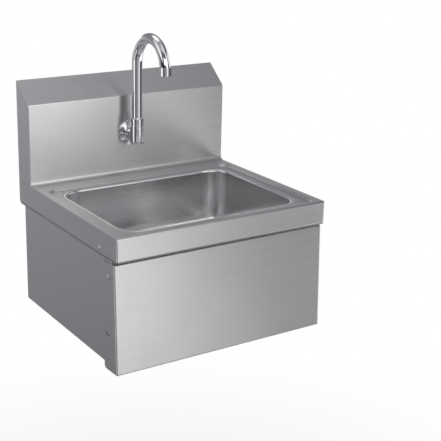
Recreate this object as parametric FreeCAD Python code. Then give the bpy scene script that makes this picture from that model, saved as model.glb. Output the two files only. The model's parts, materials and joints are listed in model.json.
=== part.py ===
import FreeCAD, Part
import math
import os

# Wall-hung stainless steel hand sink whose water is worked by a push panel at the front.
# Millimetres. +Z is up, the front faces -Y and the wall is the plane y = 0.
# The origin is on the wall, midway between the two screws that hold the wall bracket.

Vector = FreeCAD.Vector
RIGHT = Vector(1, 0, 0)
LEFT = Vector(-1, 0, 0)
BACK = Vector(0, 1, 0)
FRONT = Vector(0, -1, 0)
UP = Vector(0, 0, 1)
DOWN = Vector(0, 0, -1)

# ---------------------------------------------------------------- driving sizes

# Sheet metal
sheet = 1.2                     # thickness of the stainless sheet
bend_inside = 1.2               # inside radius of a sheet bend
bend_outside = bend_inside + sheet
plate = 1.9                     # thickness of brackets
thread_gap = 0.1                # radial gap between male and female threads
running_gap = 0.05              # radial gap of a piece that turns or slides in another
side_gap = 0.3                  # gap between faces that move past each other

# Deck with its marine edge and aprons
sink_width = 431.8
sink_depth = 393.7
apron_height = 44.5
apron_return = 12.0             # front apron's inward return
apron_front_corner = 6.0        # radius of the aprons' lower front corners
apron_rear_corner = 9.0         # radius of the side aprons' lower rear corners
rim_side = 15.0                 # raised rim, left and right
rim_front = 9.0                 # raised rim, front
ledge_depth = 39.0              # flat ledge between the splash and the recess
marine_step = 3.6               # how far the recess lies below the rim
marine_slope = 3.0              # how far the recess wall leans
marine_corner = 16.0            # plan radius of the recess corners

# Bowl
bowl_margin_side = 23.1         # recess wall to the bowl's inside, left and right
bowl_margin_front = 19.7
bowl_margin_rear = 13.2
bowl_depth = 127.0              # below the rim
bowl_corner = 40.0              # plan radius of the bowl's corners
bowl_floor_radius = 35.0        # radius between walls and floor
bowl_draft = 4.0                # how far each wall leans in over its height
bowl_lip = 4.0                  # radius of the rolled edge
bowl_flange = 4.0               # flat flange outside the rolled edge, let into the deck

# Backsplash
splash_depth = 50.8             # from the wall to the splash face
splash_face = 155.5             # height of the upright face above the deck
splash_top = 197.5              # height of the top edge at the wall
splash_cove = 7.0               # radius between deck and splash
splash_hook = 25.0              # hanging flange at the wall
end_return = 12.0               # return of the end plates at the wall

# Wall bracket
screw_drop = 47.5               # wall screws below the splash's top edge
screw_spacing = 304.8
screw_hole_radius = 3.6
shank_hole_gap = 1.0            # round the shank where it passes the splash
bracket_end_gap = 13.9          # bracket's ends to the returns of the end plates
bracket_foot = 24.0             # bracket below its screws
hook_overlap = 17.0             # height of the bracket's lip in front of the hanging flange

# Side panels
skirt_height = 236.0            # deck to the foot of the side panels
skirt_overlap = 20.0            # how far the panels reach up inside the aprons
skirt_rear = 20.0               # gap between the panels and the wall
skirt_front = 21.7              # front edge of the panels behind the apron's face
skirt_return = 14.0

# Push panel
panel_gap = 5.0                 # below the apron
panel_height = 197.0
panel_proud = 0.5               # each side flange stands this far outside the apron
panel_flange = 44.0             # depth of the side flanges
panel_return = 12.0             # depth of the top and bottom returns
panel_foot_corner = 9.0         # radius of the flange's lower rear corner
panel_head_corner = 6.0         # radius of the flange's upper rear corner
panel_lean = 2.35               # degrees that the foot stands out at rest
panel_travel = 6.0              # degrees of push
pivot_behind_face = 20.0        # pivot line behind the panel's face
pivot_below_top = 23.5          # pivot line below the panel's top edge
pivot_behind_apron = 27.7       # pivot line behind the apron's face
pivot_radius = 2.5              # screw shank
stop_below_pivot = 106.0
stop_behind_pivot = 13.0
stop_radius = 2.3
stop_clearance = 0.4            # round the stop pin in its slot
stop_sunk = 0.6                 # pin's end below the flange's outer face
stop_head_radius = 3.6

# Small screws
screw_radius = 2.0
screw_head_radius = 4.6
screw_head_height = 2.4
nut_flats = 8.0
nut_height = 3.2
screw_end = 1.0                 # how far a screw stands out of its nut
apron_screw_drop = 31.4         # below the deck
apron_screw_front = 60.2        # behind the apron's face

# Push valve
valve_x = -90.0
valve_below_pivot = 92.0
valve_bracket_set = 20.0        # front face of the cross channel behind the pivot line
valve_bracket_bend = 2.9        # outside radius of its bends
valve_bracket_height = 45.0
valve_bracket_return = 18.0
valve_body_radius = 17.0
valve_body_length = 58.0
valve_neck_radius = 11.0
valve_neck_length = 12.3        # threaded neck in front of the body
valve_neck_bore = 8.0
valve_cross_radius = 13.0
valve_cross_half = 44.0
valve_cross_back = 30.0         # middle of the cross barrel behind the body's front
valve_outlet_radius = 10.5
valve_outlet_length = 14.0
gland_thickness = 3.0
gland_plug = 6.0                # length of the gland inside the neck
cast_round = 2.0                # rounding of cast brass edges
locknut_flats = 32.0
locknut_thickness = 5.0
stem_radius = 4.0
stem_collar_radius = 6.5
stem_collar_length = 4.0
pad_radius = 12.0
pad_thickness = 7.0
pad_crown = 2.0
pad_socket = 4.0
spring_radius = 8.0             # mean radius of the coil
spring_wire = 1.4
spring_turns = 5.0
nipple_radius = 10.45           # half-inch male thread
nipple_length = 18.0
water_bore = 6.5

# Mixed water line
line_radius = 6.35
line_wall = 0.9
line_bend = 36.0                # centreline radius of its two bends
line_to_wall = 22.0             # upright stretch, centreline to wall
line_nut_flats = 27.0
line_nut_length = 15.0

# Spout
spout_height = 82.0             # shank axis above the deck
shank_radius = 10.45
shank_bore = 6.5
shank_to_tube = 6.0             # shank's front end behind the spout tube
shank_nut_flats = 32.0
shank_nut_thickness = 7.0
shank_washer_radius = 20.0
shank_washer_thickness = 2.0
elbow_radius = 14.0
elbow_port_radius = 11.0
elbow_stop = 4.0                # shank's end in front of the elbow's middle
escutcheon_radius = 26.2
escutcheon_rim = 2.5
escutcheon_flare = 7.0          # how far the bell reaches out from the splash
escutcheon_neck = 1.6           # wall of its neck
spout_reach_to_body = 77.5      # wall to the riser's axis
body_radius = 13.7
body_bottom = 18.0              # below the shank axis
body_shoulder = 16.5            # above the shank axis
body_round = 6.0
body_neck_radius = 11.8
body_neck_height = 10.0
stub_radius = 11.8
stub_to_splash = 5.0
spout_nut_radius = 13.5
spout_nut_height = 17.0
spout_nut_bead = 9.0            # height of its upper bead
spout_nut_waist = 0.6           # depth of the groove below the bead
spout_nut_foot = 3.0            # height of its foot below the groove
tube_radius = 10.1
tube_wall = 1.2
tube_bottom = 8.0               # tube's lower end below the shank axis
arch_radius = 52.2
arch_height = 141.6             # arch centre above the shank axis
outlet_radius = 11.4
outlet_length = 17.0
outlet_mouth = 6.5              # upper stretch, where the tube starts to bend
outlet_mouth_gap = 0.65         # round the tube there
outlet_bottom = 131.5           # outlet's lower face above the shank axis
outlet_bore = 7.0
outlet_lip = 4.0                # height of the lip under the tube's end
turned_chamfer = 1.2            # edges of turned nuts

# Drain
drain_ahead = 4.0               # drain in front of the bowl's middle
drain_hole_radius = 44.45       # 3-1/2 in opening
drain_recess_radius = 61.0
drain_recess_depth = 3.0
drain_cup_radius = 43.2         # outside, threaded
drain_cup_wall = 1.7
drain_cup_depth = 36.0          # below the recess
drain_flange_radius = 57.0
drain_flange_thickness = 1.6
drain_flange_rise = 0.8         # crown of the flange
drain_flange_slope = 2.0        # width of its sloping edge
drain_dish = 4.0                # where the flange starts to fall, outside the opening
drain_knee = 3.0                # sloping ring between the cup's wall and floor
drain_tail_radius = 24.0
drain_tail_wall = 2.4
drain_tail_length = 25.0
gasket_radius = 54.0
gasket_thickness = 3.0
fibre_thickness = 1.2
drain_nut_height = 9.0
drain_nut_lug = 3.5
drain_nut_lugs = 6
basket_clearance = 1.0
basket_wall = 1.0
basket_depth = 24.0
basket_floor_inset = 6.5        # flat floor inside the basket's wall
basket_knee = 6.0               # height of its sloping ring
basket_holes = 12
basket_floor_hole = 3.0
basket_wall_hole = 2.6
stopper_thickness = 4.0
stopper_overlap = 5.0           # on the cup's floor, outside the tail
post_radius = 3.0
knob_foot = 12.0
knob_radius = 7.0
knob_height = 21.0
tail_radius = 19.05             # 1-1/2 in tailpiece
tail_wall = 1.0
tail_length = 72.0
tail_flange = 2.0               # thickness of the flange on its upper end
tail_head = 12.0                # upper end, where the nut holds it, flange included
tail_head_swell = 0.35          # how much wider the upper end is
tail_nut_radius = 29.0
tail_nut_reach = 12.0           # over the drain's thread
tail_nut_lip = 4.0
tail_nut_chamfer = 1.5

# ---------------------------------------------------------------- places worked out from them

half_width = sink_width / 2
deck = screw_drop - splash_top
front_face = -sink_depth
apron_foot = deck - apron_height
splash_joint = -(splash_depth + splash_cove)
splash_edge = deck + splash_top
hook_foot = splash_edge - splash_hook
recess_floor = deck - marine_step
recess_width = 2 * (half_width - rim_side)
recess_front = front_face + rim_front
recess_rear = -(splash_depth + ledge_depth)
bowl_width = recess_width - 2 * bowl_margin_side
bowl_length = recess_rear - bowl_margin_rear - (recess_front + bowl_margin_front)
bowl_middle = recess_rear - bowl_margin_rear - bowl_length / 2
bowl_floor = deck - bowl_depth
side_inner = half_width - sheet                 # inside of the apron, outside of the side panel
bracket_width = 2 * (half_width - end_return - bracket_end_gap)
panel_half = half_width + panel_proud
flange_inner = panel_half - sheet
panel_top = apron_foot - panel_gap
pivot_y = front_face + pivot_behind_apron
pivot_z = panel_top - pivot_below_top
pivot = Vector(0, pivot_y, pivot_z)
skirt_foot = deck - skirt_height
shank_z = deck + spout_height
spout_y = -spout_reach_to_body
escutcheon_depth = spout_reach_to_body - splash_depth - body_radius - side_gap
shank_front = spout_y + tube_radius + shank_to_tube
valve_z = pivot_z - valve_below_pivot
valve_bracket_y = pivot_y + valve_bracket_set
valve_front = valve_bracket_y + plate           # valve body's front face
neck_front = valve_front - valve_neck_length
gland_front = neck_front - gland_thickness
valve_rear = valve_front + valve_body_length
lean = math.radians(panel_lean)
panel_inner_y = pivot_y - (pivot_behind_face - sheet) / math.cos(lean) - valve_below_pivot * math.tan(lean)
pad_front = panel_inner_y + side_gap
pad_rear = pad_front + pad_thickness
line_y = -line_to_wall
drain_y = bowl_middle - drain_ahead
drain_seat = bowl_floor - drain_recess_depth
drain_under = drain_seat - sheet
cup_bore = drain_cup_radius - drain_cup_wall
cup_floor = drain_seat - drain_cup_depth
tail_thread_foot = cup_floor - drain_tail_length


# ---------------------------------------------------------------- shapes

def block(x0, x1, y0, y1, z0, z1):
    return Part.makeBox(x1 - x0, y1 - y0, z1 - z0, Vector(x0, y0, z0))


def rod(radius, start, axis, length):
    return Part.makeCylinder(radius, length, start, axis)


def pipe(radius, bore, start, axis, length):
    return rod(radius, start, axis, length).cut(rod(bore, start, axis, length))


def outline(points, radii):
    """Closed wire through the points, each corner rounded by its own radius (0 keeps it sharp)."""
    edges = []
    starts = []
    ends = []
    arcs = []
    count = len(points)
    for i in range(count):
        corner = points[i]
        to_last = (points[i - 1] - corner).normalize()
        to_next = (points[(i + 1) % count] - corner).normalize()
        if radii[i] <= 0:
            starts.append(corner)
            ends.append(corner)
            arcs.append(None)
            continue
        half_angle = to_last.getAngle(to_next) / 2
        reach = radii[i] / math.tan(half_angle)
        middle = (to_last + to_next).normalize()
        bulge = radii[i] / math.sin(half_angle) - radii[i]
        starts.append(corner + to_last * reach)
        ends.append(corner + to_next * reach)
        arcs.append(Part.Arc(starts[i], corner + middle * bulge, ends[i]).toShape())
    for i in range(count):
        if arcs[i]:
            edges.append(arcs[i])
        following = starts[(i + 1) % count]
        if (following - ends[i]).Length > 1e-6:
            edges.append(Part.LineSegment(ends[i], following).toShape())
    return Part.Wire(edges)


def solid_along(wire, direction):
    return Part.Face(wire).extrude(direction)


def rounded_plan(width, length, middle_y, corner, z):
    """Level wire of a rectangle with round corners, centred on x = 0."""
    x = width / 2
    y0 = middle_y - length / 2
    y1 = middle_y + length / 2
    corners = [Vector(-x, y0, z), Vector(x, y0, z), Vector(x, y1, z), Vector(-x, y1, z)]
    return outline(corners, [corner] * 4)


def sheet_section(path, bends, thickness, side):
    """Corners and corner radii of a sheet bent along a path. Its thickness lies to the left
    (side 1) or right (side -1) of the path, and bends gives each radius on the path itself."""
    count = len(path)
    normals = []
    for i in range(count - 1):
        du = path[i + 1][0] - path[i][0]
        dv = path[i + 1][1] - path[i][1]
        run = math.hypot(du, dv)
        normals.append((-dv / run * side, du / run * side))
    offset = []
    for i in range(count):
        before = normals[max(i - 1, 0)]
        after = normals[min(i, count - 2)]
        share = thickness / (1 + before[0] * after[0] + before[1] * after[1])
        u = path[i][0] + (before[0] + after[0]) * share
        v = path[i][1] + (before[1] + after[1]) * share
        offset.append((u, v))
    radii = [0] * count
    offset_radii = [0] * count
    for i in range(1, count - 1):
        turn = normals[i - 1][0] * normals[i][1] - normals[i - 1][1] * normals[i][0]
        radii[i] = bends[i - 1]
        offset_radii[i] = bends[i - 1] - math.copysign(thickness, turn * side)
    return path + offset[::-1], radii + offset_radii[::-1]


def bent_sheet(path, bends, thickness, side, x0, x1):
    """Sheet bent along a path of (y, z) points and running from x0 to x1."""
    corners, radii = sheet_section(path, bends, thickness, side)
    points = [Vector(x0, y, z) for y, z in corners]
    return solid_along(outline(points, radii), RIGHT * (x1 - x0))


def round_tube(corners, bend, radius, wall):
    """Tube through the corners, each turned with the same centreline radius."""

    def section(centre, heading):
        circles = [Part.Wire([Part.makeCircle(r, centre, heading)]) for r in (radius, radius - wall)]
        return Part.Face(circles[0]).cut(Part.Face(circles[1])).Faces[0]

    pieces = []
    begin = corners[0]
    for i in range(1, len(corners) - 1):
        before = (corners[i] - corners[i - 1]).normalize()
        after = (corners[i + 1] - corners[i]).normalize()
        turn = before.getAngle(after)
        reach = bend * math.tan(turn / 2)
        arc_start = corners[i] - before * reach
        if (arc_start - begin).Length > 1e-6:
            pieces.append(section(begin, before).extrude(arc_start - begin))
        axis = before.cross(after).normalize()
        centre = arc_start + axis.cross(before) * bend
        pieces.append(section(arc_start, before).revolve(centre, axis, math.degrees(turn)))
        begin = corners[i] + after * reach
    last = corners[-1] - begin
    pieces.append(section(begin, last).extrude(last))
    tube = pieces[0]
    for piece in pieces[1:]:
        tube = tube.fuse(piece)
    return tube.removeSplitter()


def turned(profile, start, axis, radial):
    """Solid of revolution. The profile is a list of (radius, distance along the axis)."""
    points = [start + radial * r + axis * d for r, d in profile]
    face = Part.Face(Part.makePolygon(points + [points[0]]))
    return face.revolve(start, axis, 360)


def hexagon(flats, start, axis, flat_towards, length):
    corner = flats / math.sqrt(3)
    sideways = axis.cross(flat_towards)
    points = []
    for step in range(6):
        angle = math.radians(30 + 60 * step)
        points.append(start + (flat_towards * math.cos(angle) + sideways * math.sin(angle)) * corner)
    return solid_along(Part.makePolygon(points + [points[0]]), axis * length)


def domed_head(radius, height, start, axis):
    """Screw head: a slice of a ball on a short edge."""
    edge = height * 0.25
    rise = height - edge
    ball_radius = (radius ** 2 + rise ** 2) / (2 * rise)
    ball = Part.makeSphere(ball_radius, start + axis * (height - ball_radius))
    return ball.common(rod(radius, start, axis, height))


def edges_where(shape, test):
    return [edge for edge in shape.Edges if all(test(vertex.Point) for vertex in edge.Vertexes)]


def near(a, b):
    return abs(a - b) < 1e-3


def in_plane_yz(y, z, x=0):
    return Vector(x, y, z)


def mirrored(shape):
    return shape.mirror(Vector(0, 0, 0), RIGHT)


def both_sides(shape):
    return Part.makeCompound([shape, mirrored(shape)])


def save(name, shape):
    shape.exportStep("parts/" + name + ".step")


# ---------------------------------------------------------------- deck and bowl

def deck_form(inset):
    """The deck's outside (inset 0) or inside (inset of one sheet) as a solid lump."""
    side = half_width - inset
    front = front_face + inset
    foot = apron_foot + inset
    top = deck - inset
    lump = block(-side, side, front, splash_joint, foot, top)
    bends = edges_where(lump, lambda p: near(p.y, front))
    for x in (-side, side):
        bends += edges_where(lump, lambda p: near(p.x, x) and near(p.z, top))
    lump = lump.makeFillet(bend_outside - inset, bends)
    width = recess_width + 2 * inset
    length = recess_rear - recess_front + 2 * inset
    middle = (recess_rear + recess_front) / 2
    narrower = 2 * marine_slope
    corner = marine_corner + inset
    mouth = rounded_plan(width, length, middle, corner, top)
    floor = rounded_plan(width - narrower, length - narrower, middle, corner - marine_slope,
                         recess_floor - inset)
    return lump.cut(Part.makeLoft([floor, mouth], True, True))


def sink_top():
    """Deck, marine edge, front apron with its return, and side aprons, in one sheet."""
    top = deck_form(0).fuse(block(-half_width, half_width, splash_joint, 0, apron_foot, deck))
    behind_return = block(-side_inner, side_inner, front_face + apron_return, splash_joint,
                          apron_foot - 1, apron_foot + 2)
    under_splash = block(-side_inner, side_inner, splash_joint, 1, apron_foot - 1, deck + 1)
    top = top.cut(deck_form(sheet)).cut(behind_return).cut(under_splash).removeSplitter()
    side_view = outline([Vector(-half_width, front_face, apron_foot), Vector(-half_width, 0, apron_foot),
                         Vector(-half_width, 0, deck), Vector(-half_width, front_face, deck)],
                        [apron_front_corner, apron_rear_corner, 0, 0])
    front_view = outline([Vector(-half_width, front_face, apron_foot),
                          Vector(half_width, front_face, apron_foot),
                          Vector(half_width, front_face, deck), Vector(-half_width, front_face, deck)],
                         [apron_front_corner, apron_front_corner, 0, 0])
    waste = block(-half_width, half_width, front_face, 0, apron_foot, deck)
    beside = waste.cut(solid_along(side_view, RIGHT * sink_width))
    beside = beside.cut(block(-side_inner, side_inner, front_face, 0, apron_foot, deck))
    ahead = waste.cut(solid_along(front_view, BACK * sink_depth))
    ahead = ahead.common(block(-half_width, half_width, front_face, front_face + bend_outside,
                               apron_foot, deck))
    notch = block(side_inner - apron_front_corner, side_inner, front_face + sheet,
                  front_face + apron_return + 1, apron_foot - 1, apron_foot + sheet)
    mouth = rounded_plan(*bowl_plan(bowl_lip + bowl_flange), deck - 2 * marine_step)
    opening = solid_along(mouth, UP * 2 * marine_step)
    for waste in (beside, ahead, notch, mirrored(notch), opening):
        top = top.cut(waste)
    place = apron_screw_place()
    hole = rod(screw_radius, Vector(side_inner - sheet, place.y, place.z), RIGHT, 3 * sheet)
    return top.cut(hole).cut(mirrored(hole))


def bowl_plan(grow):
    """Outline of the bowl's mouth, grown by the given amount."""
    return [bowl_width + 2 * grow, bowl_length + 2 * grow, bowl_middle, bowl_corner + grow]


def bowl():
    """Deep-drawn bowl. One wall section runs from the flange let into the deck, over the rolled
    edge and down to the floor. It is turned about the four corners and swept along the four sides."""
    path = [(bowl_corner + bowl_lip + bowl_flange, recess_floor), (bowl_corner, recess_floor),
            (bowl_corner - bowl_draft, bowl_floor), (0, bowl_floor)]
    section, radii = sheet_section(path, [bowl_lip, bowl_floor_radius], sheet, 1)
    side_x = bowl_width / 2 - bowl_corner
    side_y = bowl_length / 2 - bowl_corner
    walls = []
    outward = FRONT
    for x, y, run in ((1, -1, side_y), (1, 1, side_x), (-1, 1, side_y), (-1, -1, side_x)):
        centre = Vector(x * side_x, bowl_middle + y * side_y, 0)
        wall = outline([centre + outward * u + UP * z for u, z in section], radii)
        walls.append(Part.Face(wall).revolve(centre, UP, 90))
        along = outward * -1
        outward = UP.cross(outward)
        wall = outline([centre + outward * u + UP * z for u, z in section], radii)
        walls.append(solid_along(wall, along * 2 * run))
    floor = block(-side_x, side_x, bowl_middle - side_y, bowl_middle + side_y, bowl_floor - sheet, bowl_floor)
    shell = floor.fuse(walls).removeSplitter()
    edge = drain_recess_radius + bend_outside
    path = [(edge, bowl_floor), (drain_recess_radius, bowl_floor), (drain_flange_radius + 1, drain_seat),
            (drain_hole_radius, drain_seat)]
    section, radii = sheet_section(path, [bend_outside, bend_inside], sheet, 1)
    wall = outline([on_drain(z) + RIGHT * u for u, z in section], radii)
    recess = Part.Face(wall).revolve(on_drain(0), UP, 360)
    shell = shell.cut(rod(edge, on_drain(bowl_floor + 1), DOWN, sheet + 2))
    return shell.fuse(recess).removeSplitter()


# ---------------------------------------------------------------- backsplash and wall bracket

def backsplash():
    path = [(splash_joint, deck), (-splash_depth, deck), (-splash_depth, deck + splash_face),
            (0, splash_edge), (0, hook_foot)]
    body = bent_sheet(path, [splash_cove, bend_outside, bend_outside], sheet, -1, -side_inner, side_inner)
    return body.cut(rod(shank_radius + shank_hole_gap, Vector(0, 0, shank_z), FRONT, sink_depth))


def splash_end():
    """Right-hand closing plate, with its return along the wall."""
    corners = [Vector(side_inner, splash_joint, deck), Vector(side_inner, -splash_depth, deck),
               Vector(side_inner, -splash_depth, deck + splash_face), Vector(side_inner, 0, splash_edge),
               Vector(side_inner, 0, deck)]
    end = solid_along(outline(corners, [0, splash_cove, bend_outside, bend_outside, 0]), RIGHT * sheet)
    wall_return = block(half_width - end_return, side_inner, -sheet, 0, deck, hook_foot)
    return end.fuse(wall_return).removeSplitter()


def wall_bracket():
    """Strip on the wall whose raised lip holds the splash's hanging flange."""
    lip_top = hook_foot + hook_overlap
    profile = [(0, -bracket_foot), (0, hook_foot), (-sheet, hook_foot), (-sheet, lip_top),
               (-sheet - plate, lip_top), (-sheet - plate, hook_foot - plate), (-plate, hook_foot - plate),
               (-plate, -bracket_foot)]
    points = [in_plane_yz(y, z, -bracket_width / 2) for y, z in profile]
    strip = solid_along(outline(points, [0, 0, 0, 0, plate / 2, plate / 2, 0, 0]), RIGHT * bracket_width)
    for x in (-screw_spacing / 2, screw_spacing / 2):
        strip = strip.cut(rod(screw_hole_radius, Vector(x, 1, 0), FRONT, plate + 2))
    return strip


# ---------------------------------------------------------------- skirt

def side_panel():
    """Right-hand side panel: a shallow tray, open at the top, with three returns."""
    front = front_face + skirt_front
    top = apron_foot + skirt_overlap
    outer = block(side_inner - skirt_return, side_inner, front, -skirt_rear, skirt_foot, top)
    bends = [e for e in edges_where(outer, lambda p: near(p.x, side_inner)) if not near(e.BoundBox.ZMin, top)]
    outer = outer.makeFillet(bend_outside, bends)
    inner = block(side_inner - 2 * skirt_return, side_inner - sheet, front + sheet, -skirt_rear - sheet,
                  skirt_foot + sheet, top + 1)
    inner_x = side_inner - sheet
    bends = [e for e in edges_where(inner, lambda p: near(p.x, inner_x)) if e.BoundBox.ZMin < top]
    inner = inner.makeFillet(bend_inside, bends)
    panel = outer.cut(inner)
    holes = ((apron_screw_place(), screw_radius), (pivot, pivot_radius), (stop_place(), stop_radius))
    for place, radius in holes:
        panel = panel.cut(rod(radius, Vector(inner_x - sheet, place.y, place.z), RIGHT, 3 * sheet))
    return panel


def apron_screw_place():
    return Vector(0, front_face + apron_screw_front, deck - apron_screw_drop)


def stop_place():
    return Vector(0, pivot_y + stop_behind_pivot, pivot_z - stop_below_pivot)


def apron_screw():
    place = apron_screw_place()
    head = domed_head(screw_head_radius, screw_head_height, Vector(half_width, place.y, place.z), RIGHT)
    shank = rod(screw_radius, Vector(half_width, place.y, place.z), LEFT, 2 * sheet + nut_height + screw_end)
    return head.fuse(shank)


def side_nut(place, radius):
    start = Vector(side_inner - sheet, place.y, place.z)
    return hexagon(nut_flats, start, LEFT, BACK, nut_height).cut(rod(radius, start, LEFT, nut_height))


def pivot_screw():
    """Domed screw that a side flange turns on."""
    face = Vector(panel_half + side_gap, pivot_y, pivot_z)
    head = domed_head(screw_head_radius, screw_head_height, face, RIGHT)
    length = face.x - (side_inner - sheet) + nut_height + screw_end
    return head.fuse(rod(pivot_radius, face, LEFT, length))


def pivot_washer():
    start = Vector(side_inner, pivot_y, pivot_z)
    return pipe(nut_flats / 2, pivot_radius, start, RIGHT, flange_inner - side_inner - side_gap / 3)


def stop_pin():
    """Pin through the side panel that ends the panel's swing in both directions."""
    stop = stop_place()
    tip = Vector(panel_half - stop_sunk, stop.y, stop.z)
    inner_face = side_inner - sheet
    shank = rod(stop_radius, tip, LEFT, tip.x - inner_face)
    head = rod(stop_head_radius, Vector(inner_face, stop.y, stop.z), LEFT, screw_head_height)
    return shank.fuse(head)


def stop_slot():
    """Slot along an arc about the pivot, for the panel as it stands at rest."""
    stop = stop_place() - pivot
    reach = math.hypot(stop.y, stop.z)
    width = stop_radius + stop_clearance
    rest = math.atan2(stop.z, stop.y)
    end = rest - math.radians(panel_travel)

    def at(radius, angle):
        return pivot + Vector(flange_inner - 1, radius * math.cos(angle), radius * math.sin(angle))

    middle = (rest + end) / 2
    past = width / reach
    wire = Part.Wire([
        Part.Arc(at(reach + width, rest), at(reach + width, middle), at(reach + width, end)).toShape(),
        Part.Arc(at(reach + width, end), at(reach, end - past), at(reach - width, end)).toShape(),
        Part.Arc(at(reach - width, end), at(reach - width, middle), at(reach - width, rest)).toShape(),
        Part.Arc(at(reach - width, rest), at(reach, rest + past), at(reach + width, rest)).toShape()])
    return solid_along(wire, RIGHT * (sheet + 2))


def panel_form(inset, depth):
    """The push panel's outside or inside as a solid lump, upright, before it leans."""
    side = panel_half - inset
    face = pivot_y - pivot_behind_face + inset
    foot = panel_top - panel_height + inset
    top = panel_top - inset
    lump = block(-side, side, face, face + depth, foot, top)
    bends = edges_where(lump, lambda p: near(p.y, face))
    corners = [e for e in lump.Edges if near(abs(e.tangentAt(e.FirstParameter).y), 1)]
    return lump.makeFillet(bend_outside - inset, bends + corners)


def knee_panel():
    """Push panel: a tray with deep side flanges that hang on the pivot screws."""
    face = pivot_y - pivot_behind_face
    foot = panel_top - panel_height
    tray = panel_form(0, panel_flange).cut(panel_form(sheet, panel_flange + 5))
    tray = tray.cut(block(-flange_inner, flange_inner, face + panel_return, 0, foot - 1, panel_top + 1))
    side_view = outline([Vector(-panel_half, face, foot), Vector(-panel_half, face + panel_flange, foot),
                         Vector(-panel_half, face + panel_flange, panel_top),
                         Vector(-panel_half, face, panel_top)],
                        [0, panel_foot_corner, panel_head_corner, 0])
    tray = tray.common(solid_along(side_view, RIGHT * 2 * panel_half))
    tray.rotate(pivot, RIGHT, -panel_lean)
    hole = rod(pivot_radius + running_gap, Vector(flange_inner - 1, pivot_y, pivot_z), RIGHT, sheet + 2)
    for cutter in (hole, stop_slot()):
        tray = tray.cut(cutter).cut(mirrored(cutter))
    return tray


# ---------------------------------------------------------------- push valve

def on_valve(y):
    return Vector(valve_x, y, valve_z)


def valve_bracket():
    """Cross channel between the side panels, open at the back."""
    half = side_inner - sheet
    low = valve_z - valve_bracket_height / 2
    high = valve_z + valve_bracket_height / 2
    y0 = valve_bracket_y
    y1 = y0 + valve_bracket_return
    outer = block(-half, half, y0, y1, low, high)
    outer = outer.makeFillet(valve_bracket_bend, edges_where(outer, lambda p: near(p.y, y0)))
    inner = block(-half + plate, half - plate, y0 + plate, y1 + 1, low + plate, high - plate)
    channel = outer.cut(inner)
    return channel.cut(rod(valve_neck_radius + thread_gap, on_valve(y0 - 1), BACK, plate + 2))


def valve_body():
    """Brass body: main barrel, cross barrel for the two inlets, threaded neck and outlet."""
    barrel = rod(valve_body_radius, on_valve(valve_front), BACK, valve_body_length)
    barrel = barrel.makeFillet(cast_round, edges_where(barrel, lambda p: near(p.y, valve_rear)))
    neck = rod(valve_neck_radius, on_valve(neck_front), BACK, valve_neck_length + 1)
    outlet = rod(valve_outlet_radius, on_valve(valve_rear - 1), BACK, valve_outlet_length + 1)
    cross_y = valve_front + valve_cross_back
    cross_start = Vector(valve_x - valve_cross_half, cross_y, valve_z)
    cross = rod(valve_cross_radius, cross_start, RIGHT, 2 * valve_cross_half)
    body = barrel.fuse([neck, outlet, cross]).removeSplitter()
    chamber = rod(valve_neck_bore, on_valve(neck_front), BACK, valve_neck_length + valve_cross_back)
    waterway = rod(water_bore, on_valve(valve_front), BACK, valve_body_length + valve_outlet_length + 1)
    crossway = rod(water_bore, cross_start, RIGHT, 2 * valve_cross_half)
    return body.cut(chamber).cut(waterway).cut(crossway)


def valve_locknut():
    start = on_valve(valve_bracket_y)
    nut = hexagon(locknut_flats, start, FRONT, UP, locknut_thickness)
    return nut.cut(rod(valve_neck_radius + thread_gap, start, FRONT, locknut_thickness))


def valve_gland():
    """Cap and guide of the plunger, set into the neck."""
    plug = rod(valve_neck_bore - thread_gap, on_valve(neck_front), BACK, gland_plug)
    cap = rod(valve_neck_radius, on_valve(gland_front), BACK, gland_thickness)
    return cap.fuse(plug).cut(rod(stem_radius + running_gap, on_valve(gland_front), BACK, valve_neck_length))


def valve_plunger():
    """Stem with a collar behind the gland, its front end in the push pad."""
    front = pad_front + pad_thickness - pad_socket
    collar_y = neck_front + gland_plug + side_gap
    end = collar_y + stem_collar_length
    stem = rod(stem_radius, on_valve(front), BACK, end - front)
    return stem.fuse(rod(stem_collar_radius, on_valve(collar_y), BACK, stem_collar_length)).removeSplitter()


def push_pad():
    """Crowned plastic pad that the panel presses on."""
    ball_radius = (pad_radius ** 2 + pad_crown ** 2) / (2 * pad_crown)
    ball = Part.makeSphere(ball_radius, on_valve(pad_front + ball_radius))
    pad = ball.common(rod(pad_radius, on_valve(pad_front), BACK, pad_thickness))
    return pad.cut(rod(stem_radius, on_valve(pad_rear), FRONT, pad_socket))


def arc_from(start, tangent, end):
    """Arc that leaves start along the tangent and reaches end."""
    chord = end - start
    half_chord = chord.Length / 2
    along = chord * (0.5 / half_chord)
    aside = tangent - along * tangent.dot(along)
    sagitta = half_chord * math.tan(math.asin(min(aside.Length, 1)) / 2)
    return Part.Arc(start, (start + end) / 2 + aside.normalize() * sagitta, end).toShape()


def helix(centre, radius, length, turns):
    """Helix along +Y as tangent pairs of arcs, half a turn to each pair."""
    climb = length / (2 * math.pi * turns)
    slant = math.hypot(radius, climb)

    def at(angle):
        return centre + Vector(radius * math.cos(angle), climb * angle, radius * math.sin(angle))

    def heading(angle):
        return Vector(-radius * math.sin(angle), climb, radius * math.cos(angle)) / slant

    edges = []
    for half in range(int(2 * turns)):
        start = at(math.pi * half)
        end = at(math.pi * (half + 1))
        leaving = heading(math.pi * half)
        arriving = heading(math.pi * (half + 1))
        span = end - start
        square = 2 * (1 - leaving.dot(arriving))
        linear = 2 * span.dot(leaving + arriving)
        reach = (math.sqrt(linear ** 2 / 4 + square * span.dot(span)) - linear / 2) / square
        joint = (start + leaving * reach + end - arriving * reach) / 2
        passing = (end - arriving * reach - start - leaving * reach).normalize()
        edges.append(arc_from(start, leaving, joint))
        edges.append(arc_from(joint, passing, end))
    return Part.Wire(edges)


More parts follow.
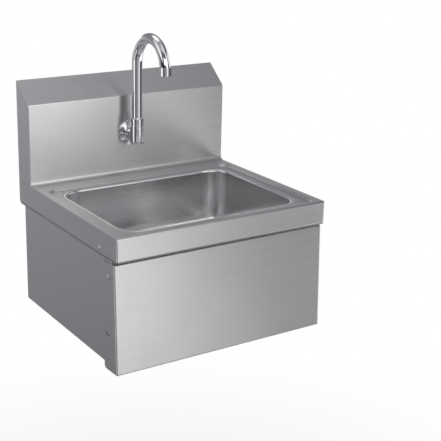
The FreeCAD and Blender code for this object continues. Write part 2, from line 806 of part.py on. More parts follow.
def least_gap(path, wire):
    """Least distance between the surfaces of turns that lie side by side, measured on points."""
    count = 400
    points = path.discretize(Number=count)
    apart = int(0.6 * count / spring_turns)
    gaps = []
    for i in range(0, count, 4):
        gaps += [(points[i] - points[j]).Length for j in range(i + apart, count)]
    return min(gaps) - wire


def valve_spring():
    """Return spring round the stem, between the gland and the pad."""
    inset = spring_wire / 2 + side_gap
    start = pad_rear + inset
    path = helix(on_valve(start), spring_radius, gland_front - inset - start, spring_turns)
    first = path.Edges[0]
    ring = Part.Wire([Part.makeCircle(spring_wire / 2, on_valve(start) + RIGHT * spring_radius,
                                      first.tangentAt(first.FirstParameter))])
    print("valve_spring: least gap to itself", round(least_gap(path, spring_wire), 2), "mm")
    return path.makePipeShell([ring], True, False)


def inlet_nipple(side):
    start = Vector(valve_x + side * valve_cross_half, valve_front + valve_cross_back, valve_z)
    return pipe(nipple_radius, water_bore, start, RIGHT * side, nipple_length)


# ---------------------------------------------------------------- mixed water line

def line_nut(start, axis, flat_towards, thread_radius, covered):
    """Compression nut: wide bore over the thread, narrow bore round the tube."""
    nut = hexagon(line_nut_flats, start, axis, flat_towards, line_nut_length)
    nut = nut.cut(rod(thread_radius + thread_gap, start, axis, covered))
    return nut.cut(rod(line_radius + thread_gap, start, axis, line_nut_length))


def supply_tube():
    """Tube from the valve, back under the bowl, up behind the splash and across to the spout's elbow."""
    start = on_valve(valve_rear + valve_outlet_length + thread_gap)
    low = Vector(valve_x, line_y, valve_z)
    high = Vector(valve_x, line_y, shank_z)
    end = Vector(-elbow_radius, line_y, shank_z)

    return round_tube([start, low, high, end], line_bend, line_radius, line_wall)


def supply_elbow():
    """Elbow behind the splash that joins the tube to the shank."""
    centre = Vector(0, line_y, shank_z)
    barrel = rod(elbow_radius, centre + FRONT * elbow_radius, BACK, 2 * elbow_radius)
    barrel = barrel.makeFillet(cast_round, edges_where(barrel, lambda p: p.y > line_y))
    body = barrel.fuse(rod(elbow_port_radius, centre, LEFT, 2 * elbow_radius)).removeSplitter()
    port = centre + FRONT * elbow_radius
    body = body.cut(rod(shank_radius + thread_gap, port, BACK, elbow_radius - elbow_stop))
    body = body.cut(rod(shank_bore, port, BACK, elbow_radius))
    return body.cut(rod(line_radius + thread_gap, centre, LEFT, 2 * elbow_radius + 1))


# ---------------------------------------------------------------- spout

def on_shank(y):
    return Vector(0, y, shank_z)


def spout_shank():
    rear = line_y - elbow_stop - thread_gap
    return pipe(shank_radius, shank_bore, on_shank(shank_front), BACK, rear - shank_front)


def shank_washer():
    return pipe(shank_washer_radius, shank_radius + thread_gap, on_shank(-splash_depth + sheet), BACK,
                shank_washer_thickness)


def shank_locknut():
    start = on_shank(-splash_depth + sheet + shank_washer_thickness)
    nut = hexagon(shank_nut_flats, start, BACK, UP, shank_nut_thickness)
    return nut.cut(rod(shank_radius + thread_gap, start, BACK, shank_nut_thickness))


def wall_flange():
    """Bell-shaped escutcheon between the splash and the spout body."""
    bore = stub_radius + thread_gap
    deep = escutcheon_depth
    neck = bore + escutcheon_neck
    edge = escutcheon_neck / 2
    corners = [(bore, 0), (escutcheon_radius, 0), (escutcheon_radius, escutcheon_rim),
               (neck + edge, escutcheon_flare), (neck, deep), (bore, deep)]
    points = [on_shank(-splash_depth) + UP * r + FRONT * d for r, d in corners]
    face = Part.Face(outline(points, [0, edge, 2 * edge, escutcheon_flare, edge, 0]))
    return face.revolve(on_shank(0), BACK, 360)


def spout_body():
    """Vertical body with a round bottom, the threaded neck on top and the stub towards the wall."""
    foot = Vector(0, spout_y, shank_z - body_bottom)
    barrel = rod(body_radius, foot, UP, body_bottom + body_shoulder)
    barrel = barrel.makeFillet(body_round, edges_where(barrel, lambda p: near(p.z, foot.z)))
    barrel = barrel.makeFillet(1, edges_where(barrel, lambda p: near(p.z, shank_z + body_shoulder)))
    neck = rod(body_neck_radius, Vector(0, spout_y, shank_z), UP, body_shoulder + body_neck_height)
    stub_end = -splash_depth - stub_to_splash
    stub = rod(stub_radius, on_shank(spout_y), BACK, stub_end - spout_y)
    body = barrel.fuse([neck, stub]).removeSplitter()
    socket_floor = Vector(0, spout_y, shank_z - tube_bottom - side_gap)
    body = body.cut(rod(tube_radius + running_gap, socket_floor, UP, sink_depth))
    body = body.cut(rod(shank_radius + thread_gap, on_shank(shank_front - thread_gap), BACK, sink_depth))
    return body.cut(rod(shank_bore, on_shank(spout_y), BACK, sink_depth))


def spout_nut():
    """Round nut over the neck, grooved outside, with an inner lip above the neck."""
    foot = body_shoulder
    lip = body_shoulder + body_neck_height + thread_gap
    top = body_shoulder + spout_nut_height
    wide = body_neck_radius + thread_gap
    narrow = tube_radius + side_gap
    chamfer = turned_chamfer
    outside = spout_nut_radius
    waist = outside - spout_nut_waist
    groove_foot = foot + spout_nut_foot
    groove_top = top - spout_nut_bead
    profile = [(wide, foot), (outside, foot), (outside, groove_foot - spout_nut_waist),
               (waist, groove_foot), (waist, groove_top), (outside, groove_top + spout_nut_waist),
               (outside, top - chamfer), (outside - chamfer, top), (narrow, top), (narrow, lip), (wide, lip)]
    return turned(profile, Vector(0, spout_y, shank_z), UP, RIGHT)


def gooseneck():
    """Riser, half-circle arch and a short drop, as one drawn tube."""
    foot = Vector(0, spout_y, shank_z - tube_bottom)
    crown_z = shank_z + arch_height + arch_radius
    drop_y = spout_y - 2 * arch_radius
    drop_foot = Vector(0, drop_y, shank_z + outlet_bottom + outlet_lip)
    corners = [foot, Vector(0, spout_y, crown_z), Vector(0, drop_y, crown_z), drop_foot]
    tube = round_tube(corners, arch_radius, tube_radius, tube_wall)
    window = rod(shank_bore - 1, on_shank(spout_y), BACK, tube_radius + 1)
    return tube.cut(window)


def spout_outlet():
    """Collar on the tube's end, with an inner lip and a wider mouth where the tube bends."""
    drop_y = spout_y - 2 * arch_radius
    foot = Vector(0, drop_y, shank_z + outlet_bottom)
    chamfer = turned_chamfer
    bore = tube_radius + running_gap
    mouth = tube_radius + outlet_mouth_gap
    mouth_foot = outlet_length - outlet_mouth
    lip = outlet_lip - running_gap
    profile = [(outlet_bore, 0), (outlet_radius - chamfer, 0), (outlet_radius, chamfer),
               (outlet_radius, outlet_length), (mouth, outlet_length), (mouth, mouth_foot),
               (bore, mouth_foot), (bore, lip), (outlet_bore, lip)]
    return turned(profile, foot, UP, RIGHT)


# ---------------------------------------------------------------- drain

def on_drain(z):
    return Vector(0, drain_y, z)


def drain_body():
    """Flange in the bowl's recess, cup and threaded tail of the basket drain."""
    rim = drain_flange_thickness
    wall = drain_cup_wall
    tail_bore = drain_tail_radius - drain_tail_wall
    foot = -drain_cup_depth
    knee = drain_knee
    profile = [
        (drain_cup_radius, 0), (drain_flange_radius, 0), (drain_flange_radius, rim),
        (drain_flange_radius - drain_flange_slope, rim + drain_flange_rise),
        (drain_hole_radius + drain_dish, rim + drain_flange_rise), (drain_cup_radius, rim / 2),
        (cup_bore, -wall), (cup_bore, foot + knee), (cup_bore - knee, foot), (tail_bore, foot),
        (tail_bore, foot - drain_tail_length), (drain_tail_radius, foot - drain_tail_length),
        (drain_tail_radius, foot - wall), (cup_bore - knee, foot - wall),
        (drain_cup_radius, foot + knee - wall / 2)]
    return turned(profile, on_drain(drain_seat), UP, RIGHT)


def drain_ring(z_top, height, lugs):
    ring = pipe(gasket_radius, drain_cup_radius + thread_gap, on_drain(z_top), DOWN, height)
    for lug in range(lugs):
        angle = 2 * math.pi * lug / lugs
        middle = on_drain(z_top - height) + Vector(math.cos(angle), math.sin(angle), 0) * gasket_radius
        ring = ring.fuse(rod(drain_nut_lug, middle, UP, height))
    return ring.removeSplitter()


def strainer_basket():
    """Perforated cup with a post and a round knob, lifted out by hand."""
    outer = cup_bore - basket_clearance
    floor = cup_floor + side_gap + stopper_thickness
    flat = outer - basket_floor_inset
    knee = basket_knee
    wall = basket_wall
    post = post_radius
    neck = knob_radius - post
    profile = [(0, 0), (flat, 0), (outer, knee), (outer, basket_depth), (outer - wall, basket_depth),
               (outer - wall, knee + wall / 2), (flat - wall / 2, wall), (post, wall), (post, knob_foot),
               (knob_radius, knob_foot + neck), (knob_radius, knob_height - post), (post, knob_height),
               (0, knob_height)]
    basket = turned(profile, on_drain(floor), UP, RIGHT)
    ring = (flat + knob_radius) / 2
    for hole in range(basket_holes):
        angle = 2 * math.pi * hole / basket_holes
        aside = Vector(math.cos(angle), math.sin(angle), 0)
        basket = basket.cut(rod(basket_floor_hole, on_drain(floor - 1) + aside * ring, UP, wall + 2))
        middle = on_drain(floor + (knee + basket_depth) / 2)
        basket = basket.cut(rod(basket_wall_hole, middle + aside * flat, aside, 2 * knee))
    return basket


def strainer_stopper():
    """Rubber disc under the basket that closes the drain."""
    return rod(drain_tail_radius + stopper_overlap, on_drain(cup_floor + side_gap), UP, stopper_thickness)


def tailpiece():
    bore = tail_radius - tail_wall
    head = tail_radius + tail_head_swell
    flange = drain_tail_radius - side_gap
    profile = [(bore, 0), (flange, 0), (flange, -tail_flange), (head, -tail_flange),
               (head, tail_head_swell - tail_head), (tail_radius, -tail_head), (tail_radius, -tail_length),
               (bore, -tail_length)]
    return turned(profile, on_drain(tail_thread_foot), UP, RIGHT)


def tailpiece_nut():
    """Slip nut that draws the tailpiece's flange against the drain's tail."""
    lip = -tail_flange - thread_gap
    foot = lip - tail_nut_lip
    top = tail_nut_reach
    wide = drain_tail_radius + thread_gap
    narrow = tail_radius + tail_head_swell + thread_gap
    chamfer = tail_nut_chamfer
    profile = [(wide, top), (tail_nut_radius - chamfer, top), (tail_nut_radius, top - chamfer),
               (tail_nut_radius, foot + chamfer), (tail_nut_radius - chamfer, foot), (narrow, foot),
               (narrow, lip), (wide, lip)]
    return turned(profile, on_drain(tail_thread_foot), UP, RIGHT)


# ---------------------------------------------------------------- assembly

def build():
    os.makedirs("parts", exist_ok=True)
    save("sink_top", sink_top())
    save("bowl", bowl())
    save("backsplash", backsplash())
    save("splash_end_right", splash_end())
    save("splash_end_left", mirrored(splash_end()))
    save("wall_bracket", wall_bracket())
    save("side_panel_right", side_panel())
    save("side_panel_left", mirrored(side_panel()))
    save("apron_screws", both_sides(apron_screw()))
    save("apron_nuts", both_sides(side_nut(apron_screw_place(), screw_radius)))
    save("knee_panel", knee_panel())
    save("pivot_screws", both_sides(pivot_screw()))
    save("pivot_washers", both_sides(pivot_washer()))
    save("pivot_nuts", both_sides(side_nut(pivot, pivot_radius)))
    save("stop_pins", both_sides(stop_pin()))
    save("valve_bracket", valve_bracket())
    save("valve_body", valve_body())
    save("valve_locknut", valve_locknut())
    save("valve_gland", valve_gland())
    save("valve_plunger", valve_plunger())
    save("push_pad", push_pad())
    save("valve_spring", valve_spring())
    save("inlet_nipple_hot", inlet_nipple(-1))
    save("inlet_nipple_cold", inlet_nipple(1))
    outlet_end = valve_rear + valve_outlet_length
    save("outlet_nut", line_nut(on_valve(outlet_end - line_nut_length / 2), BACK, UP, valve_outlet_radius,
                                line_nut_length / 2))
    save("supply_tube", supply_tube())
    port_end = Vector(-2 * elbow_radius + line_nut_length / 2, line_y, shank_z)
    save("elbow_nut", line_nut(port_end, LEFT, UP, elbow_port_radius, line_nut_length / 2))
    save("supply_elbow", supply_elbow())
    save("spout_shank", spout_shank())
    save("shank_washer", shank_washer())
    save("shank_locknut", shank_locknut())
    save("wall_flange", wall_flange())
    save("spout_body", spout_body())
    save("spout_nut", spout_nut())
    save("gooseneck", gooseneck())
    save("spout_outlet", spout_outlet())
    save("drain_body", drain_body())
    save("drain_gasket", drain_ring(drain_under, gasket_thickness, 0))
    save("drain_washer", drain_ring(drain_under - gasket_thickness, fibre_thickness, 0))
    locknut_top = drain_under - gasket_thickness - fibre_thickness
    save("drain_locknut", drain_ring(locknut_top, drain_nut_height, drain_nut_lugs))
    save("strainer_basket", strainer_basket())
    save("strainer_stopper", strainer_stopper())
    save("tailpiece", tailpiece())
    save("tailpiece_nut", tailpiece_nut())


build()
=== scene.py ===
# %% [markdown]
# A wall-hung hand sink of brushed stainless sheet
#
# The solids come packed from the CAD model, so this lesson makes no body panels. It gives every
# piece its finish, adds the few small forms that a solid leaves plain, and sets up a camera,
# a floor and a room of light like the photograph's studio.

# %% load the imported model
import json
import math

import bmesh
import bpy
from mathutils import Matrix, Quaternion, Vector


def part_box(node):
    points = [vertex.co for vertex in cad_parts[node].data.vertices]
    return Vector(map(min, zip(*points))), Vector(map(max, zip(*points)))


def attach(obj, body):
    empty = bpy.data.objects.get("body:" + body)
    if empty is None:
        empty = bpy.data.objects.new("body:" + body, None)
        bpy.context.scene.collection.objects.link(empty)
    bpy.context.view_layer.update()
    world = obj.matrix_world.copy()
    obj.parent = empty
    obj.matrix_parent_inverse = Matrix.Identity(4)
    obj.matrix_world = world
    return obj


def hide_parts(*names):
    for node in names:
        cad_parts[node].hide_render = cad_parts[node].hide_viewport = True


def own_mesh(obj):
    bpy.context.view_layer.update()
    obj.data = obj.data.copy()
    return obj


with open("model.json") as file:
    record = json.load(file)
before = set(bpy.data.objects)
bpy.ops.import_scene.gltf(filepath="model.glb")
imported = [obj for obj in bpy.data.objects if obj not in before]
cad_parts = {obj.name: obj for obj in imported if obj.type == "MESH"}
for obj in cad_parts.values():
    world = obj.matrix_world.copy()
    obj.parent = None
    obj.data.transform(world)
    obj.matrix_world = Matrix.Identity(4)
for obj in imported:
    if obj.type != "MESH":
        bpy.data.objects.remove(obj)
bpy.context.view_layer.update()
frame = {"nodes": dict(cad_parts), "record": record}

nodes = frame["nodes"]

# %% [markdown]
# The camera
#
# A product photograph shows straight sheet edges, so the camera can be worked out from them. Its
# place, turn and lens were fitted until the corners of the deck, aprons, splash and push panel
# fell on the corners in the photograph. The small roll and shift are part of that fit.

# %% camera
CAMERA_PLACE = Vector((-0.97201, -1.80379, 0.41512))
CAMERA_AZIMUTH = 0.56082
CAMERA_DOWN = 0.30076
CAMERA_ROLL = 0.01487
FOCAL_PIXELS = 1045.46
IMAGE_PIXELS = 441
LENS_AXIS_RIGHT, LENS_AXIS_DOWN = 185.0, 199.45     # pixels from the picture's left and top
SENSOR_WIDTH = 36
NEAREST, FARTHEST = 0.05, 60

camera = bpy.data.cameras.new("camera")
camera.sensor_width = SENSOR_WIDTH
camera.lens = FOCAL_PIXELS / IMAGE_PIXELS * SENSOR_WIDTH
camera.shift_x = (IMAGE_PIXELS / 2 - LENS_AXIS_RIGHT) / IMAGE_PIXELS
camera.shift_y = (LENS_AXIS_DOWN - IMAGE_PIXELS / 2) / IMAGE_PIXELS
camera.clip_start = NEAREST
camera.clip_end = FARTHEST
camera_object = bpy.data.objects.new("camera", camera)
bpy.context.scene.collection.objects.link(camera_object)
camera_object.location = CAMERA_PLACE
camera_object.rotation_mode = "QUATERNION"
aim = Matrix.Rotation(-CAMERA_AZIMUTH, 3, "Z") @ Matrix.Rotation(math.pi / 2 - CAMERA_DOWN, 3, "X")
camera_object.rotation_quaternion = aim.to_quaternion() @ Quaternion((0, 0, 1), CAMERA_ROLL)
bpy.context.scene.camera = camera_object
bpy.context.scene.view_settings.view_transform = "Standard"
print("lens", round(camera.lens, 1), "mm, shift", round(camera.shift_x, 3), round(camera.shift_y, 3))

# %% [markdown]
# Small helpers for shader nodes
#
# A material is a small graph. These helpers add a node with its settings, link two sockets and
# make a noise texture, so that each finish below reads as a list of what the eye sees.


# %% node helpers
def add_node(tree, kind, **settings):
    node = tree.nodes.new(kind)
    for name, value in settings.items():
        setattr(node, name, value)
    return node


def calc(tree, operation, a, b=None, clamp=False):
    node = add_node(tree, "ShaderNodeMath", operation=operation, use_clamp=clamp)
    for socket, value in zip(node.inputs, (a, b)):
        if value is None:
            continue
        if isinstance(value, (int, float)):
            socket.default_value = value
        else:
            tree.links.new(value, socket)
    return node.outputs[0]


def blend_values(tree, factor, a, b):
    node = add_node(tree, "ShaderNodeMix", data_type="FLOAT")
    for socket, value in zip((node.inputs[0], node.inputs[2], node.inputs[3]), (factor, a, b)):
        if isinstance(value, (int, float)):
            socket.default_value = value
        else:
            tree.links.new(value, socket)
    return node.outputs[0]


def object_place(tree):
    return add_node(tree, "ShaderNodeTexCoord").outputs["Object"]


def noise(tree, vector, scale, detail=3.0, roughness=0.55):
    node = add_node(tree, "ShaderNodeTexNoise")
    node.inputs["Scale"].default_value = scale
    node.inputs["Detail"].default_value = detail
    node.inputs["Roughness"].default_value = roughness
    tree.links.new(vector, node.inputs["Vector"])
    return node.outputs[0]


def ramp(tree, value, stops):
    node = add_node(tree, "ShaderNodeValToRGB")
    elements = node.color_ramp.elements
    while len(elements) < len(stops):
        elements.new(1.0)
    for element, (place, level) in zip(elements, stops):
        element.position = place
        element.color = (level, level, level, 1)
    tree.links.new(value, node.inputs[0])
    return node.outputs[0]


def new_group(name, inputs, outputs):
    group = bpy.data.node_groups.new(name, "ShaderNodeTree")
    for socket, value in inputs.items():
        made = group.interface.new_socket(socket, in_out="INPUT", socket_type="NodeSocketFloat")
        made.default_value = value
    for socket in outputs:
        group.interface.new_socket(socket, in_out="OUTPUT", socket_type="NodeSocketFloat")
    return group, add_node(group, "NodeGroupInput"), add_node(group, "NodeGroupOutput")


print("helpers ready")

# %% [markdown]
# Brushed grain
#
# Stainless sheet for kitchens is rubbed with a belt, which leaves fine scratches all in one
# direction. A noise squeezed across the scratches and drawn out along them gives these lines.
# The belt ran along the long edge, so the lines lie along X on the fronts, the splash and the
# deck, and along Y on the sides. The normal's X part tells the sides from the rest, in a small
# helper that the material uses too. There the shader's tangent is set across the lines, because
# scratches spread a highlight sideways off themselves and keep it sharp along their own length.


# %% grain group
def faces_sideways(tree):
    facing = add_node(tree, "ShaderNodeSeparateXYZ")
    tree.links.new(add_node(tree, "ShaderNodeNewGeometry").outputs["True Normal"], facing.inputs[0])
    return calc(tree, "GREATER_THAN", calc(tree, "ABSOLUTE", facing.outputs[0]), 0.7)


def make_grain_group():
    group, enter, leave = new_group("brushed grain", {"Across": 900.0, "Along": 14.0}, ["Grain", "Streaks"])
    coordinates = object_place(group)
    side = faces_sideways(group)
    across, along = enter.outputs[0], enter.outputs[1]
    lines = []
    for order in ((along, across, across), (across, along, across)):
        scale = add_node(group, "ShaderNodeCombineXYZ")
        for socket, value in zip(scale.inputs, order):
            group.links.new(value, socket)
        squeeze = add_node(group, "ShaderNodeVectorMath", operation="MULTIPLY")
        group.links.new(coordinates, squeeze.inputs[0])
        group.links.new(scale.outputs[0], squeeze.inputs[1])
        fine_lines = noise(group, squeeze.outputs[0], 1.0, 4.0, 0.7)
        broad_streaks = noise(group, squeeze.outputs[0], 0.12, 3.0)
        lines.append((fine_lines, broad_streaks))
    group.links.new(blend_values(group, side, lines[0][0], lines[1][0]), leave.inputs[0])
    group.links.new(blend_values(group, side, lines[0][1], lines[1][1]), leave.inputs[1])
    return group


GRAIN = make_grain_group()
print("group", GRAIN.name)

# %% [markdown]
# Marks and painted edge highlights
#
# A used sink has faint wiped patches and water spots, and its edges get a painted highlight:
# the colour is lighter along sharp edges, standing in for the light that they catch.
# The patches come from soft noise. The edges are found with the Bevel node, because an
# imported mesh has loose triangles on which pointiness doesn't work.


# %% marks and painted edge highlight group
def make_marks_and_edge_highlight_group():
    inputs = {"Edge": 0.0009, "Spots": 60.0}
    group, enter, leave = new_group("marks and painted edge highlights", inputs, ["Patches", "Spots", "Edges"])
    coordinates = object_place(group)
    patches = noise(group, coordinates, 9.0, 5.0, 0.6)
    group.links.new(ramp(group, patches, [(0.35, 0.0), (0.7, 1.0)]), leave.inputs[0])
    dots = add_node(group, "ShaderNodeTexVoronoi", feature="F1")
    group.links.new(enter.outputs[1], dots.inputs["Scale"])
    group.links.new(coordinates, dots.inputs["Vector"])
    rings = ramp(group, dots.outputs["Distance"], [(0.0, 0.25), (0.11, 1.0), (0.16, 0.0)])
    rare = ramp(group, noise(group, coordinates, 21.0, 2.0), [(0.58, 0.0), (0.66, 1.0)])
    group.links.new(calc(group, "MULTIPLY", rings, rare), leave.inputs[1])
    geometry = add_node(group, "ShaderNodeNewGeometry")
    rounded = add_node(group, "ShaderNodeBevel", samples=4)
    group.links.new(enter.outputs[0], rounded.inputs["Radius"])
    likeness = add_node(group, "ShaderNodeVectorMath", operation="DOT_PRODUCT")
    group.links.new(rounded.outputs[0], likeness.inputs[0])
    group.links.new(geometry.outputs["Normal"], likeness.inputs[1])
    # The edge mask is a painted highlight: where the rounded normal turns from the true one, brushed sheet
    # gets a lighter colour.
    edges = calc(group, "MULTIPLY", calc(group, "SUBTRACT", 1.0, likeness.outputs["Value"]), 5.0, clamp=True)
    group.links.new(edges, leave.inputs[2])
    return group


MARKS_AND_EDGE_HIGHLIGHT = make_marks_and_edge_highlight_group()
print("group", MARKS_AND_EDGE_HIGHLIGHT.name)

# %% [markdown]
# Finishes
#
# Every finish starts from the Principled shader. What is the same all over is typed into its
# sockets: metal, tint and, for brushed sheet, how much the highlight is drawn out. What changes
# over the surface comes from the two groups, and reaches only colour, roughness and bump.


# %% material helpers
def new_material(name, colour, metal, roughness):
    material = bpy.data.materials.new(name)
    material.use_nodes = True
    tree = material.node_tree
    shader = tree.nodes["Principled BSDF"]
    shader.inputs["Base Color"].default_value = (*colour, 1)
    shader.inputs["Metallic"].default_value = metal
    shader.inputs["Roughness"].default_value = roughness
    return material, tree, shader


def use_group(tree, group, **values):
    node = add_node(tree, "ShaderNodeGroup", node_tree=group)
    for name, value in values.items():
        node.inputs[name].default_value = value
    return node


def vary_colour(tree, shader, value, dark, light):
    mix = add_node(tree, "ShaderNodeMix", data_type="RGBA")
    mix.inputs[6].default_value = (*dark, 1)
    mix.inputs[7].default_value = (*light, 1)
    tree.links.new(value, mix.inputs[0])
    tree.links.new(mix.outputs[2], shader.inputs["Base Color"])


def vary_roughness(tree, shader, value, low, high):
    spread = add_node(tree, "ShaderNodeMapRange")
    spread.inputs["To Min"].default_value = low
    spread.inputs["To Max"].default_value = high
    tree.links.new(value, spread.inputs["Value"])
    tree.links.new(spread.outputs[0], shader.inputs["Roughness"])


def raise_surface(tree, shader, height, strength, distance, under=None):
    bump = add_node(tree, "ShaderNodeBump")
    if under:
        tree.links.new(under, bump.inputs["Normal"])
    bump.inputs["Strength"].default_value = strength
    bump.inputs["Distance"].default_value = distance
    tree.links.new(height, bump.inputs["Height"])
    tree.links.new(bump.outputs[0], shader.inputs["Normal"])


def tint(colour, amount):
    return tuple(min(1.0, channel * amount) for channel in colour)


print("material helpers ready")


# %% [markdown]
# Brushed sheet
#
# On the brushed sheet two more things bend the light. Cut edges are rounded a little by the Bevel
# node. And the aprons' lower edge is rolled in, which the photograph shows as a soft dark band
# over the gap: a height that follows a quarter circle turns the normal down just above that edge.

# %% brushed sheet
APRON_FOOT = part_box("sink_top")[0].z
ROLL_RADIUS = 0.005
STEEPEST = 0.15                     # share of the roll's quarter circle left out at its foot
GRAIN_DEPTH = 0.00008


def rounded_edges(tree, radius=0.002):
    soft_edge = add_node(tree, "ShaderNodeBevel", samples=6)
    soft_edge.inputs["Radius"].default_value = radius
    return soft_edge.outputs[0]


def rolled_edge(tree, under):
    place = add_node(tree, "ShaderNodeSeparateXYZ")
    tree.links.new(object_place(tree), place.inputs[0])
    above_foot = calc(tree, "DIVIDE", calc(tree, "SUBTRACT", place.outputs[2], APRON_FOOT), ROLL_RADIUS)
    on_apron = calc(tree, "GREATER_THAN", above_foot, -0.02)
    climbed = calc(tree, "MINIMUM", calc(tree, "MAXIMUM", above_foot, STEEPEST), 1.0)
    turned_in = calc(tree, "SUBTRACT", 1.0, climbed)
    height = calc(tree, "SQRT", calc(tree, "SUBTRACT", 1.0, calc(tree, "MULTIPLY", turned_in, turned_in)))
    roll = add_node(tree, "ShaderNodeBump")
    roll.inputs["Distance"].default_value = ROLL_RADIUS
    tree.links.new(on_apron, roll.inputs["Strength"])
    tree.links.new(height, roll.inputs["Height"])
    tree.links.new(under, roll.inputs["Normal"])
    return roll.outputs[0]


def brushed_sheet(name, colour, roughness, stretch, across, along, contrast, bump, rolled=False):
    material, tree, shader = new_material(name, colour, 1.0, roughness)
    shader.inputs["Anisotropic"].default_value = stretch
    grain = use_group(tree, GRAIN, Across=across, Along=along)
    marks = use_group(tree, MARKS_AND_EDGE_HIGHLIGHT)
    grain_way = add_node(tree, "ShaderNodeMix", data_type="VECTOR")
    grain_way.inputs[4].default_value = (1, 0, 0)
    grain_way.inputs[5].default_value = (0, 1, 0)
    tree.links.new(faces_sideways(tree), grain_way.inputs[0])
    tangent = add_node(tree, "ShaderNodeVectorMath", operation="CROSS_PRODUCT")
    tree.links.new(add_node(tree, "ShaderNodeNewGeometry").outputs["Normal"], tangent.inputs[0])
    tree.links.new(grain_way.outputs[1], tangent.inputs[1])
    tree.links.new(tangent.outputs[0], shader.inputs["Tangent"])
    lines = blend_values(tree, 0.35, grain.outputs["Grain"], grain.outputs["Streaks"])
    # Painted highlight: the colour is lightened along sharp edges, standing in for the light that they catch.
    bright = calc(tree, "ADD", lines, calc(tree, "MULTIPLY", marks.outputs["Edges"], 0.2), clamp=True)
    vary_colour(tree, shader, bright, tint(colour, 1 - contrast), tint(colour, 1 + contrast))
    dulled = calc(tree, "ADD", lines, calc(tree, "MULTIPLY", marks.outputs["Patches"], 0.3))
    dulled = calc(tree, "ADD", dulled, calc(tree, "MULTIPLY", marks.outputs["Spots"], 0.03), clamp=True)
    vary_roughness(tree, shader, dulled, roughness * 0.8, roughness * 1.3)
    under = rounded_edges(tree)
    if rolled:
        under = rolled_edge(tree, under)
    raise_surface(tree, shader, grain.outputs["Grain"], bump, GRAIN_DEPTH, under)
    return material


STEEL = (0.602, 0.598, 0.600)
sheet_finish = brushed_sheet("brushed sheet", STEEL, 0.27, 0.90, 900.0, 14.0, 0.13, 0.35, rolled=True)
print("made", sheet_finish.name)

# %% drawn bowl
bowl_finish = brushed_sheet("drawn bowl", (0.71, 0.707, 0.712), 0.18, 0.0, 500.0, 60.0, 0.05, 0.02)
print("made", bowl_finish.name)


# %% [markdown]
# Bright and plain metals
#
# Chrome plate is nearly a mirror, so it gets very little of its own: faint patches in the
# roughness. Cast and machined brass, zinc plate and copper are duller, with a fine speckle.

# %% bright and plain metals
SPECKLE_DEPTH = 0.0001


def plain_metal(name, colour, roughness, speckle, depth, spread=0.05):
    material, tree, shader = new_material(name, colour, 1.0, roughness)
    marks = use_group(tree, MARKS_AND_EDGE_HIGHLIGHT)
    coordinates = object_place(tree)
    fine = noise(tree, coordinates, speckle, 4.0, 0.6)
    clouded = blend_values(tree, 0.5, fine, marks.outputs["Patches"])
    vary_colour(tree, shader, clouded, tint(colour, 0.9), tint(colour, 1.06))
    dulled = calc(tree, "ADD", clouded, calc(tree, "MULTIPLY", marks.outputs["Spots"], 0.4), clamp=True)
    vary_roughness(tree, shader, dulled, max(0.02, roughness - spread), roughness + spread)
    raise_surface(tree, shader, fine, depth, SPECKLE_DEPTH)
    return material


chrome_finish = plain_metal("polished chrome", (0.80, 0.80, 0.82), 0.05, 120.0, 0.01, 0.02)
polished_finish = plain_metal("polished stainless", (0.66, 0.66, 0.67), 0.16, 300.0, 0.05)
screw_finish = plain_metal("satin screw", (0.50, 0.50, 0.51), 0.3, 900.0, 0.1)
zinc_finish = plain_metal("zinc plate", (0.55, 0.56, 0.58), 0.42, 260.0, 0.3, 0.1)
brass_finish = plain_metal("machined brass", (0.71, 0.56, 0.30), 0.30, 420.0, 0.2, 0.08)
copper_finish = plain_metal("drawn copper", (0.72, 0.42, 0.28), 0.28, 180.0, 0.12, 0.1)
rod_finish = plain_metal("ground rod", (0.60, 0.60, 0.61), 0.2, 800.0, 0.1)
print("made seven plain metals")


# %% rubber, nylon and fibre
def moulded(name, colour, roughness, speckle, depth):
    material, tree, shader = new_material(name, colour, 0.0, roughness)
    marks = use_group(tree, MARKS_AND_EDGE_HIGHLIGHT)
    coordinates = object_place(tree)
    fine = noise(tree, coordinates, speckle, 5.0, 0.65)
    vary_colour(tree, shader, fine, tint(colour, 0.85), tint(colour, 1.1))
    clouded = blend_values(tree, 0.5, fine, marks.outputs["Patches"])
    vary_roughness(tree, shader, clouded, roughness - 0.08, roughness + 0.1)
    raise_surface(tree, shader, fine, depth, SPECKLE_DEPTH)
    return material


rubber_finish = moulded("black rubber", (0.03, 0.03, 0.03), 0.6, 700.0, 0.4)
nylon_finish = moulded("white nylon", (0.80, 0.80, 0.76), 0.42, 260.0, 0.15)
fibre_finish = moulded("red fibre", (0.33, 0.15, 0.11), 0.75, 900.0, 0.6)
print("made rubber, nylon and fibre")

# %% give every node its finish
finishes = {"sheet": sheet_finish, "screw": screw_finish, "zinc": zinc_finish, "polished": polished_finish,
            "chrome": chrome_finish, "brass": brass_finish, "copper": copper_finish, "steel_rod": rod_finish,
            "nylon": nylon_finish, "rubber": rubber_finish, "fibre": fibre_finish}
for part in frame["record"]["subparts"]:
    finish = bowl_finish if part["node"] == "bowl" else finishes[part["material_slot"]]
    mesh = nodes[part["node"]].data
    mesh.materials.clear()
    mesh.materials.append(finish)

# %% [markdown]
# Threads
#
# The solids have plain cylinders where the real fittings are threaded. A thread is one small
# triangle that goes round the axis and along it at once, and the spin operator does this when it
# is given a shift for every step. The ridge stands half a millimetre proud of its cylinder. The
# boxes of the nodes say where each thread starts and which nuts it has to stay clear of.


# %% thread ridges
RIDGE_SUNK, RIDGE_PROUD = 0.0002, 0.0005        # the ridge's foot and crest, from its cylinder
STEPS_PER_TURN = 32
PIPE_PITCH, DRAIN_PITCH = 0.0018, 0.0022


def new_piece(name, shape, body, slot):
    bmesh.ops.remove_doubles(shape, verts=shape.verts, dist=0.00001)
    bmesh.ops.recalc_face_normals(shape, faces=shape.faces)
    mesh = bpy.data.meshes.new(name)
    shape.to_mesh(mesh)
    shape.free()
    mesh.materials.append(finishes[slot])
    piece = bpy.data.objects.new(name, mesh)
    bpy.context.scene.collection.objects.link(piece)
    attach(piece, body)
    return piece


